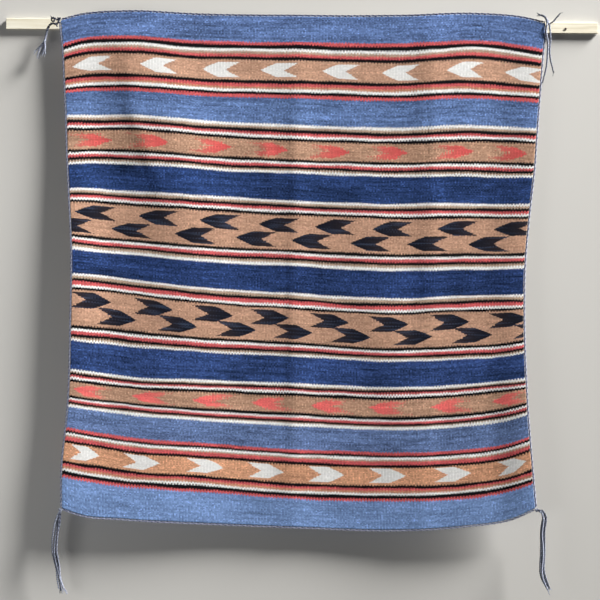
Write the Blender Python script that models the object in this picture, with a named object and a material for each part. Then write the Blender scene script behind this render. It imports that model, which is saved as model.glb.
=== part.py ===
"""A weft-faced wool rug, hung by its top edge on a plain wooden strip along a wall.

The front faces -Y, +X runs to the right and +Z up. The origin is the centre of the strip's back
face, which lies flat on the wall. Sizes are in metres, and the tables are in millimetres.
"""

import math
from collections import namedtuple

import bmesh
import bpy
import numpy as np
from mathutils import Quaternion, Vector

MM = 0.001

STRIP_LENGTH = 1.220
STRIP_HEIGHT = 0.022
STRIP_DEPTH = 0.0064
STRIP_EDGE = 0.0006

NAIL_ACROSS = 0.543
NAIL_UP = -0.0023
NAIL_RADIUS = 0.0026
NAIL_HEIGHT = 0.0012
NAIL_SIDES = 12

CLOTH_THICKNESS = 0.0035
CLOTH_COLUMNS = 48
CLOTH_ROWS = 26

CORD_RADIUS = 0.00225
CORD_SIDES = 6
CORD_SHORT = 0.0015

KNOT_RADIUS = 0.0045
KNOT_OFFSET = 0.0036
GATHER_RADIUS = 0.0034
STEM_THICKNESS = 0.004
STEM_STEPS = 12
SPINE_STEPS = 14
STRAND_SIDES = 4

# Left between neighbouring pieces
CLEAR = 0.0003

# The shares of the rug's width at which each woven line's height is measured.
ACROSS = (0.0, 0.04, 0.13, 0.28, 0.5, 0.72, 0.86, 0.95, 1.0)

# Woven lines from the top edge to the bottom edge. down is the length of cloth above the line at
# the rug's middle, left and right are where it ends, off is how far the cloth's middle layer
# stands from the wall, and heights are measured at the shares above.
WovenLine = namedtuple("WovenLine", "down left right off heights")
WOVEN_LINES = (
    WovenLine(0, -495, 500, 8.4, (4, 15, 23, 19, 18, 19, 24, 18, 7)),
    WovenLine(72, -488, 492, 10.4, (-60, -48, -44, -52, -54, -57, -48, -56, -64)),
    WovenLine(155, -484, 486, 11.8, (-133, -128, -125, -134, -137, -141, -134, -140, -144)),
    WovenLine(241, -480, 480, 13.0, (-205, -205, -204, -214, -223, -227, -221, -224, -227)),
    WovenLine(310, -477, 475, 14.0, (-277, -275, -275, -284, -292, -297, -294, -297, -298)),
    WovenLine(396, -472, 466, 15.2, (-355, -355, -360, -368, -378, -383, -381, -382, -381)),
    WovenLine(501, -466, 457, 16.6, (-452, -457, -463, -475, -483, -491, -488, -487, -485)),
    WovenLine(587, -465, 455, 17.6, (-530, -532, -542, -557, -569, -578, -571, -568, -567)),
    WovenLine(685, -466, 456, 18.7, (-636, -639, -647, -659, -667, -677, -671, -666, -657)),
    WovenLine(761, -467, 459, 19.5, (-716, -721, -731, -736, -743, -748, -741, -732, -726)),
    WovenLine(827, -469, 462, 20.1, (-773, -779, -788, -799, -809, -815, -807, -795, -782)),
    WovenLine(905, -475, 468, 20.8, (-843, -849, -864, -874, -887, -891, -884, -871, -855)),
    WovenLine(975, -481, 474, 21.4, (-911, -919, -931, -941, -957, -959, -952, -937, -921)),
    WovenLine(1047, -481, 480, 22.0, (-992, -1005, -1013, -1021, -1029, -1032, -1021, -1006, -984)),
)

# Soft ridges that run down the cloth. width is from the crest to the foot and sharp narrows the
# crest. places are where the crest stands across the wall and heights how high it is, at five
# shares of the cloth's length.
FOLD_STATIONS = (0.0, 0.25, 0.5, 0.75, 1.0)
Fold = namedtuple("Fold", "name width sharp places heights")
FOLDS = (
    Fold("left half", 430, 1.0, (-495, -482, -472, -472, -482), (7, 2, 3, 9, 15)),
    Fold("left edge", 90, 1.0, (-500, -482, -470, -470, -485), (3, 6, 12, 7, 2)),
    Fold("left swell", 140, 1.0, (-340, -275, -225, -255, -255), (2, 8.5, 7, 5, 1)),
    Fold("middle crease", 48, 1.3, (-14, -13, -12, -12, -12), (0.8, 2.4, 2.2, 2.6, 1)),
    Fold("middle swell", 85, 1.0, (150, 118, 150, 212, 200), (1, 2.5, 1.5, 3.5, 0)),
    Fold("right swell", 190, 1.0, (250, 250, 250, 250, 250), (5, 2.5, 0, 0, 1)),
    Fold("right crease", 42, 1.0, (262, 266, 266, 260, 255), (1, 2, 2, 1.5, 1.2)),
    Fold("right half", 430, 1.0, (500, 480, 460, 460, 480), (2, 3, 8, 13, 17)),
    Fold("right edge", 90, 1.0, (505, 480, 458, 465, 482), (3, 7, 5, 9, 7)),
)

# Strands of the corner tassels. Points are (right, up, forward) from the corner knot's middle.
# A spine's fourth column is how far its strands lie from it.
Tassel = namedtuple("Tassel", "name side end forward stem spine strands thickness strays")
TASSELS = (
    Tassel(
        "tassel_top_left", 0, 0, 1.5,
        (
            (0, 0, 0), (-3, -6, 1), (-7, -11, 1), (-13, -13, 1),
            (-18, -17, 0), (-25, -30, -3), (-28, -40, -3),
        ),
        ((-28, -40, -3, 1.9), (-30, -48, -3, 3.0), (-33, -58, -4, 4.6), (-35, -73, -4, 5.6)),
        5, 2.3,
        (
            ((0, 0, 0), (-5, -2, 1), (-9, 1, 2), (-12.5, -1, 2), (-10, -4, 3)),
            ((-7, -11, 1), (-4, -13, 2), (-2.6, -17, 2)),
        ),
    ),
    Tassel(
        "tassel_top_right", 1, 0, 1.5,
        (),
        (),
        0, 2.8,
        (
            (
                (0, 0, 0), (3.6, -4, 1), (5.4, -15, 1), (6.8, -37, 0),
                (6.2, -67, -3), (14.4, -103, -4),
            ),
            (
                (0, 0, 1), (-0.6, -5, 4.2), (-2.2, -12, 4.6), (-3.2, -22, 4.2), (1.2, -41, 2),
                (1.2, -67, -1), (-1, -94, -3), (-8.5, -125, -3),
            ),
            ((0, 0, 0), (-4, 7, 2), (-9, 13, 3), (-13, 16, 2)),
            ((0, 0, 0), (8, -2, 1), (18, 7, 1), (27, 18, 0)),
        ),
    ),
    Tassel(
        "tassel_bottom_left", 0, 1, 0.0,
        (),
        (
            (0, 0, 0, 2.3), (-3, -18, 0, 2.6), (-12, -53, -2, 3.6), (-14, -89, -4, 3.8),
            (-4, -120, -5, 2.5), (-1, -140, -5, 2.8), (6, -168, -6, 5.5),
        ),
        4, 2.8,
        (),
    ),
    Tassel(
        "tassel_bottom_right", 1, 1, 0.0,
        (),
        (
            (0, 0, 0, 2.3), (9, 0, 0, 2.4), (15, -10, 0, 2.8), (12, -37, -2, 4.0),
            (12.5, -85, -4, 4.4), (14, -139, -5, 3.6), (27, -167, -6, 5.0),
        ),
        4, 2.8,
        (),
    ),
)


def material(name, colour, roughness, metallic=0.0):
    made = bpy.data.materials.new(name)
    made.use_nodes = True
    shader = made.node_tree.nodes["Principled BSDF"]
    shader.inputs["Base Color"].default_value = (*colour, 1.0)
    shader.inputs["Roughness"].default_value = roughness
    shader.inputs["Metallic"].default_value = metallic
    made.diffuse_color = (*colour, 1.0)
    return made


def add_object(name, shape, finish):
    """Makes an object of a bmesh, with its faces pointing out."""
    bmesh.ops.recalc_face_normals(shape, faces=shape.faces)
    mesh = bpy.data.meshes.new(name)
    shape.to_mesh(mesh)
    shape.free()
    mesh.materials.append(finish)
    made = bpy.data.objects.new(name, mesh)
    bpy.context.scene.collection.objects.link(made)
    return made


def smooth(stations, values, at):
    """The value at a station on the smooth curve that passes through all the values."""
    stations = np.asarray(stations, float)
    values = np.asarray(values, float)
    slopes = np.gradient(values, stations, axis=0)
    last = len(stations) - 2
    i = int(np.clip(np.searchsorted(stations, at, side="right") - 1, 0, last))
    span = stations[i + 1] - stations[i]
    t = (at - stations[i]) / span
    return (
        (1 + 2 * t) * (1 - t) ** 2 * values[i]
        + t * (1 - t) ** 2 * span * slopes[i]
        + t * t * (3 - 2 * t) * values[i + 1]
        - t * t * (1 - t) * span * slopes[i + 1]
    )


def fold_height(x, share_down):
    """How far the ridges lift the cloth at a place across the wall, in millimetres."""
    total = 0.0
    for fold in FOLDS:
        crest = smooth(FOLD_STATIONS, fold.places, share_down)
        height = smooth(FOLD_STATIONS, fold.heights, share_down)
        away = min(1.0, abs(x - crest) / fold.width)
        total += height * ((1 + math.cos(math.pi * away)) / 2) ** fold.sharp
    return total


def cloth_point(across, share_down):
    """A point of the cloth's middle layer, from its share of the width and of the length."""
    rows = []
    for line in WOVEN_LINES:
        x = line.left + (line.right - line.left) * across
        rows.append((x, line.off, smooth(ACROSS, line.heights, across)))
    downs = [line.down / WOVEN_LINES[-1].down for line in WOVEN_LINES]
    x, off, z = smooth(downs, rows, share_down)
    return Vector((x, -off - fold_height(x, share_down), z)) * MM


def cloth_frame(across, share_down):
    """The cloth's directions at a point: to the right, down, and out of its front."""
    step = 0.002
    a0, a1 = max(0.0, across - step), min(1.0, across + step)
    d0, d1 = max(0.0, share_down - step), min(1.0, share_down + step)
    right = (cloth_point(a1, share_down) - cloth_point(a0, share_down)).normalized()
    down = (cloth_point(across, d1) - cloth_point(across, d0)).normalized()
    return right, down, down.cross(right).normalized()


def rug_web(finish):
    """The woven cloth: a front and a back layer of the same grid, closed round the edge."""
    shape = bmesh.new()
    front, back = [], []
    for j in range(CLOTH_ROWS + 1):
        front.append([])
        back.append([])
        for i in range(CLOTH_COLUMNS + 1):
            across, down = i / CLOTH_COLUMNS, j / CLOTH_ROWS
            middle = cloth_point(across, down)
            out = cloth_frame(across, down)[2] * (CLOTH_THICKNESS / 2)
            front[j].append(shape.verts.new(middle + out))
            back[j].append(shape.verts.new(middle - out))
    for j in range(CLOTH_ROWS):
        for i in range(CLOTH_COLUMNS):
            for layer in (front, back):
                corners = (layer[j][i], layer[j][i + 1], layer[j + 1][i + 1], layer[j + 1][i])
                shape.faces.new(corners if layer is front else corners[::-1])
    rim = [(0, i) for i in range(CLOTH_COLUMNS)]
    rim += [(j, CLOTH_COLUMNS) for j in range(CLOTH_ROWS)]
    rim += [(CLOTH_ROWS, i) for i in range(CLOTH_COLUMNS, 0, -1)]
    rim += [(j, 0) for j in range(CLOTH_ROWS, 0, -1)]
    for here, there in zip(rim, rim[1:] + rim[:1]):
        (j, i), (k, m) = here, there
        shape.faces.new((front[k][m], front[j][i], back[j][i], back[k][m]))
    made = add_object("rug_web", shape, finish)
    made.data.shade_smooth()
    return made


def add_tube(shape, rings):
    """Joins rings of points into a closed tube with flat ends."""
    made = [[shape.verts.new(point) for point in ring] for ring in rings]
    sides = len(made[0])
    for here, there in zip(made, made[1:]):
        for k in range(sides):
            n = (k + 1) % sides
            shape.faces.new((here[k], here[n], there[n], there[k]))
    shape.faces.new(made[0][::-1])
    shape.faces.new(made[-1])


def edge_cord(name, places, outward, finish):
    """A cord that follows one edge of the cloth at the given (across, down) places."""
    shape = bmesh.new()
    rings = []
    reach = CORD_RADIUS + CLEAR
    last = len(places) - 1
    for n, (across, down) in enumerate(places):
        right, along, out = cloth_frame(across, down)
        away = outward[0] * right + outward[1] * along
        away = (away - away.project(out)).normalized()
        centre = cloth_point(across, down) + away * reach
        run = right if outward[0] == 0 else along
        if n == 0:
            centre += run * CORD_SHORT
        if n == last:
            centre -= run * CORD_SHORT
        ring = []
        for k in range(CORD_SIDES):
            angle = 2 * math.pi * (k + 0.5) / CORD_SIDES
            ring.append(centre + (away * math.cos(angle) + out * math.sin(angle)) * CORD_RADIUS)
        rings.append(ring)
    add_tube(shape, rings)
    return add_object(name, shape, finish)


def from_knot(rows):
    """Hand-placed points (right, up, forward, ...) as (x, y, z, ...)."""
    return [(row[0], -row[2], row[1], *row[3:]) for row in rows]


def path_through(rows, steps):
    """Even steps along the smooth curve through hand-placed points."""
    points = np.asarray(from_knot(rows), float)
    gaps = np.linalg.norm(np.diff(points[:, :3], axis=0), axis=1)
    stations = np.concatenate(([0.0], np.cumsum(gaps)))
    return [smooth(stations, points, at) for at in np.linspace(0, stations[-1], steps + 1)]


def frames_along(centres):
    """Two directions across a path at each of its points, which turn no more than the path does."""
    ahead = [(b - a).normalized() for a, b in zip(centres, centres[1:])]
    ahead.append(ahead[-1])
    side = ahead[0].orthogonal().normalized()
    frames = []
    for before, heading in zip(ahead[:1] + ahead, ahead):
        side = Quaternion(before.rotation_difference(heading)) @ side
        frames.append((side.copy(), heading.cross(side).normalized()))
    return frames


def around(frame, share):
    """The direction at a share of a full turn round a path."""
    angle = 2 * math.pi * share
    return frame[0] * math.cos(angle) + frame[1] * math.sin(angle)


def add_strand(shape, centres, thickness):
    """A four-sided strand along the given middle points."""
    rings = []
    for centre, frame in zip(centres, frames_along(centres)):
        shares = [k / STRAND_SIDES for k in range(STRAND_SIDES)]
        rings.append([centre + around(frame, share) * thickness / 2 for share in shares])
    add_tube(shape, rings)


def add_ball(shape, centre, radius):
    """A small knot, as a ball of eight sides and six bands."""
    made = bmesh.ops.create_uvsphere(shape, u_segments=8, v_segments=6, radius=radius)
    bmesh.ops.translate(shape, verts=made["verts"], vec=centre)


def fuse(body, piece, finish):
    """Joins a piece to the body with a union."""
    guide = add_object(f"{body.name}_guide_{len(body.modifiers)}", piece, finish)
    guide.hide_render = True
    guide.display_type = "WIRE"
    union = body.modifiers.new(guide.name, "BOOLEAN")
    union.operation = "UNION"
    union.solver = "EXACT"
    union.object = guide
    guide.hide_set(True)


def tassel(row, finish):
    """One corner tassel: a knot, its stem if it has one, and strands fused into them."""
    corner = cloth_point(row.side, row.end)
    outward = Vector((2 * row.side - 1, 0, 1 - 2 * row.end))
    knot = corner + outward * KNOT_OFFSET + Vector((0, -row.forward, 0)) * MM

    head = bmesh.new()
    add_ball(head, knot, KNOT_RADIUS)
    body = add_object(row.name, head, finish)
    if row.stem:
        centres = [knot + Vector(p) * MM for p in path_through(row.stem, STEM_STEPS)]
        stem = bmesh.new()
        add_strand(stem, centres, STEM_THICKNESS)
        fuse(body, stem, finish)
        gather = bmesh.new()
        add_ball(gather, centres[-1], GATHER_RADIUS)
        fuse(body, gather, finish)
    if row.spine:
        path = path_through(row.spine, SPINE_STEPS)
        centres = [knot + Vector(p[:3]) * MM for p in path]
        frames = frames_along(centres)
        bundle = bmesh.new()
        for k in range(row.strands):
            share = (k + 0.25) / row.strands
            line = [c + around(f, share) * p[3] * MM for c, f, p in zip(centres, frames, path)]
            add_strand(bundle, line[:len(line) - k % 3], row.thickness * MM)
        fuse(body, bundle, finish)
    for points in row.strays:
        stray = bmesh.new()
        line = [knot + Vector(p) * MM for p in path_through(points, 2 * len(points))]
        add_strand(stray, line, row.thickness * MM)
        fuse(body, stray, finish)
    return body


def wall_strip(finish):
    """The wooden strip, its long edges barely softened."""
    shape = bmesh.new()
    bmesh.ops.create_cube(shape, size=1.0)
    size = Vector((STRIP_LENGTH, STRIP_DEPTH, STRIP_HEIGHT))
    bmesh.ops.scale(shape, vec=size, verts=shape.verts)
    bmesh.ops.translate(shape, vec=(0, -STRIP_DEPTH / 2, 0), verts=shape.verts)
    made = add_object("wall_strip", shape, finish)
    edge = made.modifiers.new("softened edges", "BEVEL")
    edge.width = STRIP_EDGE
    edge.segments = 1
    return made


def nail_head(finish):
    """A low domed nail head against the strip's face."""
    shape = bmesh.new()
    rings = []
    for radius, out in ((0.9, 0.0), (1.0, 0.35), (0.86, 0.75), (0.4, 1.0)):
        y = -STRIP_DEPTH - CLEAR - out * NAIL_HEIGHT
        ring = []
        for k in range(NAIL_SIDES):
            angle = 2 * math.pi * k / NAIL_SIDES
            x = NAIL_ACROSS + NAIL_RADIUS * radius * math.cos(angle)
            z = NAIL_UP + NAIL_RADIUS * radius * math.sin(angle)
            ring.append(Vector((x, y, z)))
        rings.append(ring)
    add_tube(shape, rings)
    return add_object("nail_head_right", shape, finish)


for old in list(bpy.data.objects):
    bpy.data.objects.remove(old, do_unlink=True)

wool_cloth = material("woven wool", (0.12, 0.19, 0.36), 0.95)
wool_cord = material("blue-grey wool cord", (0.28, 0.31, 0.45), 0.95)
bare_wood = material("bare softwood", (0.78, 0.72, 0.55), 0.6)
dark_steel = material("dark nail steel", (0.06, 0.06, 0.07), 0.45, 0.9)

rug_web(wool_cloth)

row_places = [j / CLOTH_ROWS for j in range(CLOTH_ROWS + 1)]
column_places = [i / CLOTH_COLUMNS for i in range(CLOTH_COLUMNS + 1)]
edge_cord("side_cord_left", [(0.0, down) for down in row_places], (-1, 0), wool_cord)
edge_cord("side_cord_right", [(1.0, down) for down in row_places], (1, 0), wool_cord)
edge_cord("end_cord_top", [(across, 0.0) for across in column_places], (0, -1), wool_cord)
edge_cord("end_cord_bottom", [(across, 1.0) for across in column_places], (0, 1), wool_cord)

for tassel_row in TASSELS:
    tassel(tassel_row, wool_cord)

wall_strip(bare_wood)
nail_head(dark_steel)
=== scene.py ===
import math
from collections import namedtuple

import bpy
import numpy as np
from mathutils import Matrix, Vector


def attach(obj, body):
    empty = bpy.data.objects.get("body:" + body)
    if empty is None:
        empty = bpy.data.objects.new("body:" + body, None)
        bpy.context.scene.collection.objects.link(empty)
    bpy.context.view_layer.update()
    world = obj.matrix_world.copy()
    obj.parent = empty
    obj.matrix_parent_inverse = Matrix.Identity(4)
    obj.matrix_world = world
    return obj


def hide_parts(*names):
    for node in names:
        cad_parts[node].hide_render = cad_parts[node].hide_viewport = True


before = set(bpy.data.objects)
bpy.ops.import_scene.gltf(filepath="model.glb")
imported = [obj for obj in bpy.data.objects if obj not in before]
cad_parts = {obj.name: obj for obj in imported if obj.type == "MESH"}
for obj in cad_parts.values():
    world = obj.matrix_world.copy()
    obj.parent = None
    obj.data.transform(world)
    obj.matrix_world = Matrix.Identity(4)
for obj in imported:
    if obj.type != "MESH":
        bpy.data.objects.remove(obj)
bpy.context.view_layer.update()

# The wall strip: a plain length of pale softwood, planed, its grain running along it. It is
# nailed along the wall, and the rug's top edge is pressed against its face.


class Shade:
    """A shader socket that stands in Python expressions. Each expression adds its own nodes."""

    def __init__(self, tree, socket):
        self.tree = tree
        self.socket = socket

    def node(self, kind, settings=(), values=(), out=0):
        """Adds a node: its settings first, then the values or links of its sockets."""
        made = self.tree.nodes.new("ShaderNode" + kind)
        for name, value in dict(settings).items():
            if name == "stops":
                for extra in range(len(value) - 2):
                    made.color_ramp.elements.new(0.5)
                for stop, (place, colour) in zip(made.color_ramp.elements, value):
                    stop.position = place
                    stop.color = colour
            elif name == "between":
                made.color_ramp.interpolation = value
            else:
                setattr(made, name, value)
        for name, value in dict(values).items():
            if isinstance(value, Shade):
                self.tree.links.new(value.socket, made.inputs[name])
            else:
                made.inputs[name].default_value = value
        return Shade(self.tree, made.outputs[out])

    def math(self, operation, *others):
        """A Math node on this value and others."""
        return self.node("Math", {"operation": operation}, dict(enumerate((self, *others))))

    def __add__(self, other):
        return self.math("ADD", other)

    def __sub__(self, other):
        return self.math("SUBTRACT", other)

    def __rsub__(self, other):
        return self.node("Math", {"operation": "SUBTRACT"}, {0: other, 1: self})

    def __mul__(self, other):
        return self.math("MULTIPLY", other)

    def __truediv__(self, other):
        return self.math("DIVIDE", other)

    def __lt__(self, other):
        return self.math("LESS_THAN", other)

    def __gt__(self, other):
        return self.math("GREATER_THAN", other)

    __radd__ = __add__
    __rmul__ = __mul__

    def part(self, out):
        """One component of a vector: 0, 1 or 2."""
        return self.node("SeparateXYZ", (), {0: self}, out)

    def scaled(self, factor):
        """A colour or a vector made longer by a factor."""
        return self.node("VectorMath", {"operation": "SCALE"}, {0: self, 3: factor})

    def towards(self, other, factor):
        """This colour mixed with another. A Mix node's sockets for colours are 6, 7 and 2."""
        return self.node("Mix", {"data_type": "RGBA"}, {0: factor, 6: self, 7: other}, 2)

    def vector(self, x, y, z=0.0):
        """A vector of three values, or of two."""
        return self.node("CombineXYZ", (), {0: x, 1: y, 2: z})

    def noise(self, place, scale=1.0, detail=2.0, rough=0.5):
        """Smooth noise from 0 to 1, about 0.5."""
        values = {"Vector": place, "Scale": scale, "Detail": detail, "Roughness": rough}
        return self.node("TexNoise", (), values)


def linear(red, green, blue, alpha=1.0):
    """A colour read as 0 to 255 on the screen, as the renderer's own light values."""
    shares = (red / 255, green / 255, blue / 255)
    return (*(s / 12.92 if s < 0.04045 else ((s + 0.055) / 1.055) ** 2.4 for s in shares), alpha)


def finish(name, roughness, metallic=0.0):
    """A new material, with its shader and a way in to its expressions."""
    made = bpy.data.materials.new(name)
    made.use_nodes = True
    shader = made.node_tree.nodes["Principled BSDF"]
    shader.inputs["Roughness"].default_value = roughness
    shader.inputs["Metallic"].default_value = metallic
    return made, shader, Shade(made.node_tree, None)


def wire(shader, name, shade):
    """Links an expression to a socket of the material's shader."""
    shade.tree.links.new(shade.socket, shader.inputs[name])


def raise_surface(shader, height, strength, depth):
    """Raises a surface by an expression's height. The depth is in metres."""
    bump = height.node("Bump", (), {"Strength": strength, "Distance": depth, "Height": height})
    wire(shader, "Normal", bump)


# The wood's grain, the fine lines that the plane left and a few stains: how closely each of them
# lies along the strip and across it.
Marks = namedtuple("Marks", "along across")
GRAIN = Marks(6.0, 160.0)
PLANED_LINES = Marks(1.6, 700.0)
STAINS = Marks(14.0, 40.0)
WOOD_TONES = (
    (0.30, linear(208, 198, 172)),
    (0.50, linear(233, 226, 204)),
    (0.68, linear(244, 240, 224)),
)
STAIN_TONE = linear(214, 198, 164)
STAIN_FROM = 0.62
STAIN_SHARE = 0.12
LINE_SHADE = 0.14
LINE_DEEPEST = 0.93
WOOD_ROUGHNESS = 0.56

wood, wood_shader, s = finish("planed softwood", WOOD_ROUGHNESS)
here = s.node("TexCoord", out="Object")
x, y, z = here.part(0), here.part(1), here.part(2)
grain_place = s.vector(x * GRAIN.along, y * GRAIN.across, z * GRAIN.across)
grain = s.noise(grain_place, detail=5.0, rough=0.6)
lines = s.noise(s.vector(x * PLANED_LINES.along, y * PLANED_LINES.across, z * PLANED_LINES.across))
stain = s.noise(s.vector(x * STAINS.along, 0.0, z * STAINS.across), detail=3.0)
tone = s.node("ValToRGB", {"stops": WOOD_TONES}, {0: grain})
tone = tone.scaled(LINE_DEEPEST + LINE_SHADE * lines)
wire(wood_shader, "Base Color", tone.towards(STAIN_TONE, (stain > STAIN_FROM) * STAIN_SHARE))
wire(wood_shader, "Roughness", WOOD_ROUGHNESS + LINE_SHADE * lines)
raise_surface(wood_shader, lines, strength=0.35, depth=0.0004)
bpy.data.objects["wall_strip"].material_slots[0].material = wood

# The nail: a plain wire nail of dull steel with a little rust. It is driven through the strip
# into the wall, so that only its head shows.

STEEL_TONES = (
    (0.40, linear(58, 58, 64)),
    (0.62, linear(92, 74, 60)),
)
RUST_FINENESS = 900.0
STEEL_ROUGHNESS = 0.38
RUST_ROUGHNESS = 0.4

steel, steel_shader, s = finish("dull nail steel", STEEL_ROUGHNESS, metallic=0.9)
rust = s.noise(s.node("TexCoord", out="Object"), RUST_FINENESS, detail=4.0, rough=0.6)
wire(steel_shader, "Base Color", s.node("ValToRGB", {"stops": STEEL_TONES}, {0: rust}))
wire(steel_shader, "Roughness", STEEL_ROUGHNESS + RUST_ROUGHNESS * rust)
bpy.data.objects["nail_head_right"].material_slots[0].material = steel

# The rug: one piece of tapestry, handspun wool weft beaten down so hard over wool warps that
# only the weft shows. The warps stand out as fine upright ribs, and each change of yarn is a
# toothed line, because each pick of weft shows on every other rib.

# The cloth is worked out in millimetres. Each warp has some columns of faces, and the first and
# last rows of faces are a narrow share of the length. PICK is the height of one pick of weft, and
# TOOTH the height of the teeth between two yarns.
MM = 0.001
WARPS = 308
COLUMNS_A_WARP = 4
CLOTH_ROWS = 39
HEM = 0.0012
CLOTH_THICKNESS = 3.5
RIB_HEIGHT = 0.10
PICK = 1.2
TOOTH = 2.0

# The shares of the rug's width at which each woven line's height is measured.
ACROSS = (0.0, 0.04, 0.13, 0.28, 0.5, 0.72, 0.86, 0.95, 1.0)

# Woven lines, in millimetres: the cloth above each one at the rug's middle, where it ends at
# left and right, how far it stands off the wall, and its heights at the shares above.
WovenLine = namedtuple("WovenLine", "down left right off heights")
WOVEN_LINES = (
    WovenLine(0, -495, 500, 8.4, (4, 15, 23, 19, 18, 19, 24, 18, 7)),
    WovenLine(72, -488, 492, 10.4, (-60, -48, -44, -52, -54, -57, -48, -56, -64)),
    WovenLine(155, -484, 486, 11.8, (-133, -128, -125, -134, -137, -141, -134, -140, -144)),
    WovenLine(241, -480, 480, 13.0, (-205, -205, -204, -214, -223, -227, -221, -224, -227)),
    WovenLine(310, -477, 475, 14.0, (-277, -275, -275, -284, -292, -297, -294, -297, -298)),
    WovenLine(396, -472, 466, 15.2, (-355, -355, -360, -368, -378, -383, -381, -382, -381)),
    WovenLine(501, -466, 457, 16.6, (-452, -457, -463, -475, -483, -491, -488, -487, -485)),
    WovenLine(587, -465, 455, 17.6, (-530, -532, -542, -557, -569, -578, -571, -568, -567)),
    WovenLine(685, -466, 456, 18.7, (-636, -639, -647, -659, -667, -677, -671, -666, -657)),
    WovenLine(761, -467, 459, 19.5, (-716, -721, -731, -736, -743, -748, -741, -732, -726)),
    WovenLine(827, -469, 462, 20.1, (-773, -779, -788, -799, -809, -815, -807, -795, -782)),
    WovenLine(905, -475, 468, 20.8, (-843, -849, -864, -874, -887, -891, -884, -871, -855)),
    WovenLine(975, -481, 474, 21.4, (-911, -919, -931, -941, -957, -959, -952, -937, -921)),
    WovenLine(1047, -481, 480, 22.0, (-992, -1005, -1013, -1021, -1029, -1032, -1021, -1006, -984)),
)
RUG_LENGTH = WOVEN_LINES[-1].down

# Soft ridges down the cloth: the width from crest to foot, how much narrower than a plain wave,
# and the crest's place across and its height at five stations from the top edge to the bottom.
FOLD_STATIONS = (0.0, 0.25, 0.5, 0.75, 1.0)
Fold = namedtuple("Fold", "name width sharp places heights")
FOLDS = (
    Fold("left half", 430, 1.0, (-495, -482, -472, -472, -482), (7, 2, 3, 9, 15)),
    Fold("left edge", 90, 1.0, (-500, -482, -470, -470, -485), (3, 6, 12, 7, 2)),
    Fold("left swell", 140, 1.0, (-340, -275, -225, -255, -255), (2, 8.5, 7, 5, 1)),
    Fold("middle crease", 48, 1.3, (-14, -13, -12, -12, -12), (0.8, 2.4, 2.2, 2.6, 1)),
    Fold("middle swell", 85, 1.0, (150, 118, 150, 212, 200), (1, 2.5, 1.5, 3.5, 0)),
    Fold("right swell", 190, 1.0, (250, 250, 250, 250, 250), (5, 2.5, 0, 0, 1)),
    Fold("right crease", 42, 1.0, (262, 266, 266, 260, 255), (1, 2, 2, 1.5, 1.2)),
    Fold("right half", 430, 1.0, (500, 480, 460, 460, 480), (2, 3, 8, 13, 17)),
    Fold("right edge", 90, 1.0, (505, 480, 458, 465, 482), (3, 7, 5, 9, 7)),
)

# Small creases on top of them, each from one place on the wall to another: the width from the
# crest to the foot, and the height. A trough has a height below nothing.
Crease = namedtuple("Crease", "name x0 z0 x1 z1 width height")
CREASES = (
    Crease("long trough by the middle", -30, 10, -28, -1020, 16, -0.7),
    Crease("upper left slant", -362, -20, -338, -230, 34, 1.3),
    Crease("lower part of that slant", -358, -150, -272, -375, 27, 1.9),
    Crease("short slant left of the middle", -92, -190, -52, -330, 15, 1.3),
    Crease("short slant near the foot", -62, -850, -8, -960, 16, 1.4),
    Crease("right line, upper", 258, -60, 256, -430, 10, -0.45),
    Crease("right line, lower", 256, -720, 256, -980, 10, -0.4),
)
CREASE_FADE = 0.4


def smooth(stations, values, at):
    """The smooth curve through the values, at one station or many."""
    stations = np.asarray(stations, float)
    values = np.asarray(values, float)
    slopes = np.gradient(values, stations, axis=0)
    at = np.atleast_1d(at)
    i = np.clip(np.searchsorted(stations, at, side="right") - 1, 0, len(stations) - 2)
    span = stations[i + 1] - stations[i]
    t = (at - stations[i]) / span
    wide = (len(at),) + (1,) * (values.ndim - 1)
    t, span = t.reshape(wide), span.reshape(wide)
    return (
        (1 + 2 * t) * (1 - t) ** 2 * values[i]
        + t * (1 - t) ** 2 * span * slopes[i]
        + t * t * (3 - 2 * t) * values[i + 1]
        - t * t * (1 - t) * span * slopes[i + 1]
    )


def wave(away):
    """One smooth swell: 1 at its crest and 0 from a distance of 1 on."""
    return (1 + np.cos(np.pi * np.minimum(1.0, np.abs(away)))) / 2


def cloth_points(across, down):
    """Points of the cloth's middle layer: a row for each share down, a column for each across."""
    downs = [line.down / RUG_LENGTH for line in WOVEN_LINES]
    by_line = np.array([smooth(ACROSS, line.heights, across) for line in WOVEN_LINES])
    z = smooth(downs, by_line, down)
    ends = smooth(downs, [(line.left, line.right, line.off) for line in WOVEN_LINES], down)
    left, right, off = (ends[:, k:k + 1] for k in range(3))
    x = left + (right - left) * np.atleast_1d(across)
    forward = off + 0 * x
    for fold in FOLDS:
        crest = smooth(FOLD_STATIONS, fold.places, down)[:, None]
        high = smooth(FOLD_STATIONS, fold.heights, down)
        forward = forward + high[:, None] * wave((x - crest) / fold.width) ** fold.sharp
    for crease in CREASES:
        run = np.clip((z - crease.z0) / (crease.z1 - crease.z0), 0, 1)
        line_x = crease.x0 + (crease.x1 - crease.x0) * run
        fade = wave(2 * run - 1) ** CREASE_FADE
        forward = forward + crease.height * fade * wave((x - line_x) / crease.width)
    return np.stack((x, -forward, z), axis=-1)


def cloth_frames(across, down):
    """At the same points, the ways right and down along the cloth and out of its front."""
    step = 0.001
    across, down = np.atleast_1d(across), np.atleast_1d(down)
    low, high = np.maximum(across - step, 0), np.minimum(across + step, 1)
    right = cloth_points(high, down) - cloth_points(low, down)
    low, high = np.maximum(down - step, 0), np.minimum(down + step, 1)
    along = cloth_points(across, high) - cloth_points(across, low)
    right /= np.linalg.norm(right, axis=-1, keepdims=True)
    along /= np.linalg.norm(along, axis=-1, keepdims=True)
    out = np.cross(along, right)
    return right, along, out / np.linalg.norm(out, axis=-1, keepdims=True)


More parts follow.
